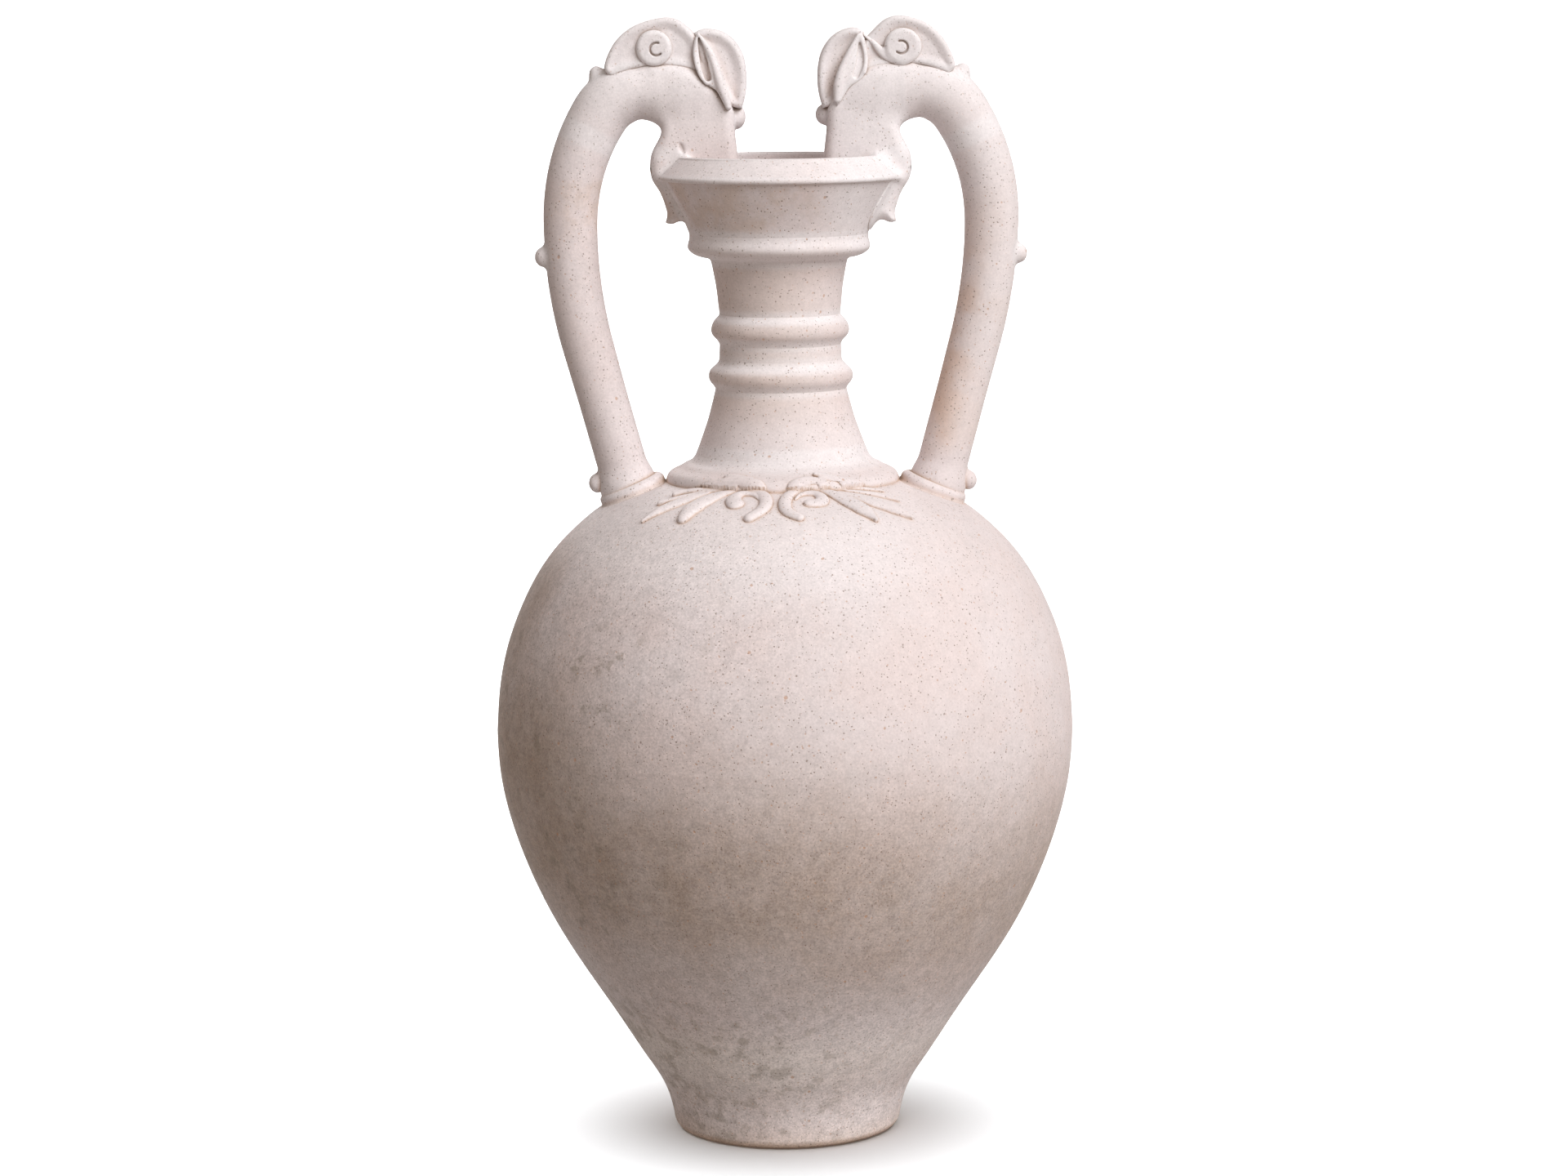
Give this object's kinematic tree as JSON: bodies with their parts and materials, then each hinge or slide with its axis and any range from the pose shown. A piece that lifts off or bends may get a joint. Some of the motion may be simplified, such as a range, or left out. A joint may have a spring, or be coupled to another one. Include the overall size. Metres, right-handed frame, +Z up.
{
  "type": "amphora",
  "caption": "Two-handled ceramic amphora: ovoid body, ringed neck, cup mouth, and looped handles that end in dragon heads biting the lip.",
  "frame": {"origin": "centre of the foot's underside", "axes": "+Z up along the vessel's axis, +X towards the right handle, -Y towards the front"},
  "size_m": [0.2332, 0.2332, 0.45],
  "materials": {
    "white_body": "matt, unglazed, fine-grained"
  },
  "bodies": {
    "root": {"body_lower": "white_body", "body_upper": "white_body", "crest_boss_left": "white_body", "crest_boss_right": "white_body", "dragon_brow_left": "white_body", "dragon_brow_right": "white_body", "dragon_crest_left": "white_body", "dragon_crest_right": "white_body", "dragon_head_left": "white_body", "dragon_head_right": "white_body", "dragon_jaw_left": "white_body", "dragon_jaw_right": "white_body", "ear_back_left": "white_body", "ear_back_right": "white_body", "ear_front_left": "white_body", "ear_front_right": "white_body", "eye_spiral_back_left": "white_body", "eye_spiral_back_right": "white_body", "eye_spiral_front_left": "white_body", "eye_spiral_front_right": "white_body", "foot_boss_left": "white_body", "foot_boss_right": "white_body", "handle_bar_left": "white_body", "handle_bar_right": "white_body", "handle_boss_left": "white_body", "handle_boss_right": "white_body", "handle_collar_left": "white_body", "handle_collar_right": "white_body", "mouth_cup": "white_body", "mouth_ring": "white_body", "neck": "white_body", "neck_base_ring": "white_body", "neck_ring_lower": "white_body", "neck_ring_upper": "white_body", "nose_pellet_left": "white_body", "nose_pellet_right": "white_body", "spray_back_left": "white_body", "spray_back_right": "white_body", "spray_front_left": "white_body", "spray_front_right": "white_body"}
  },
  "joints": []
}
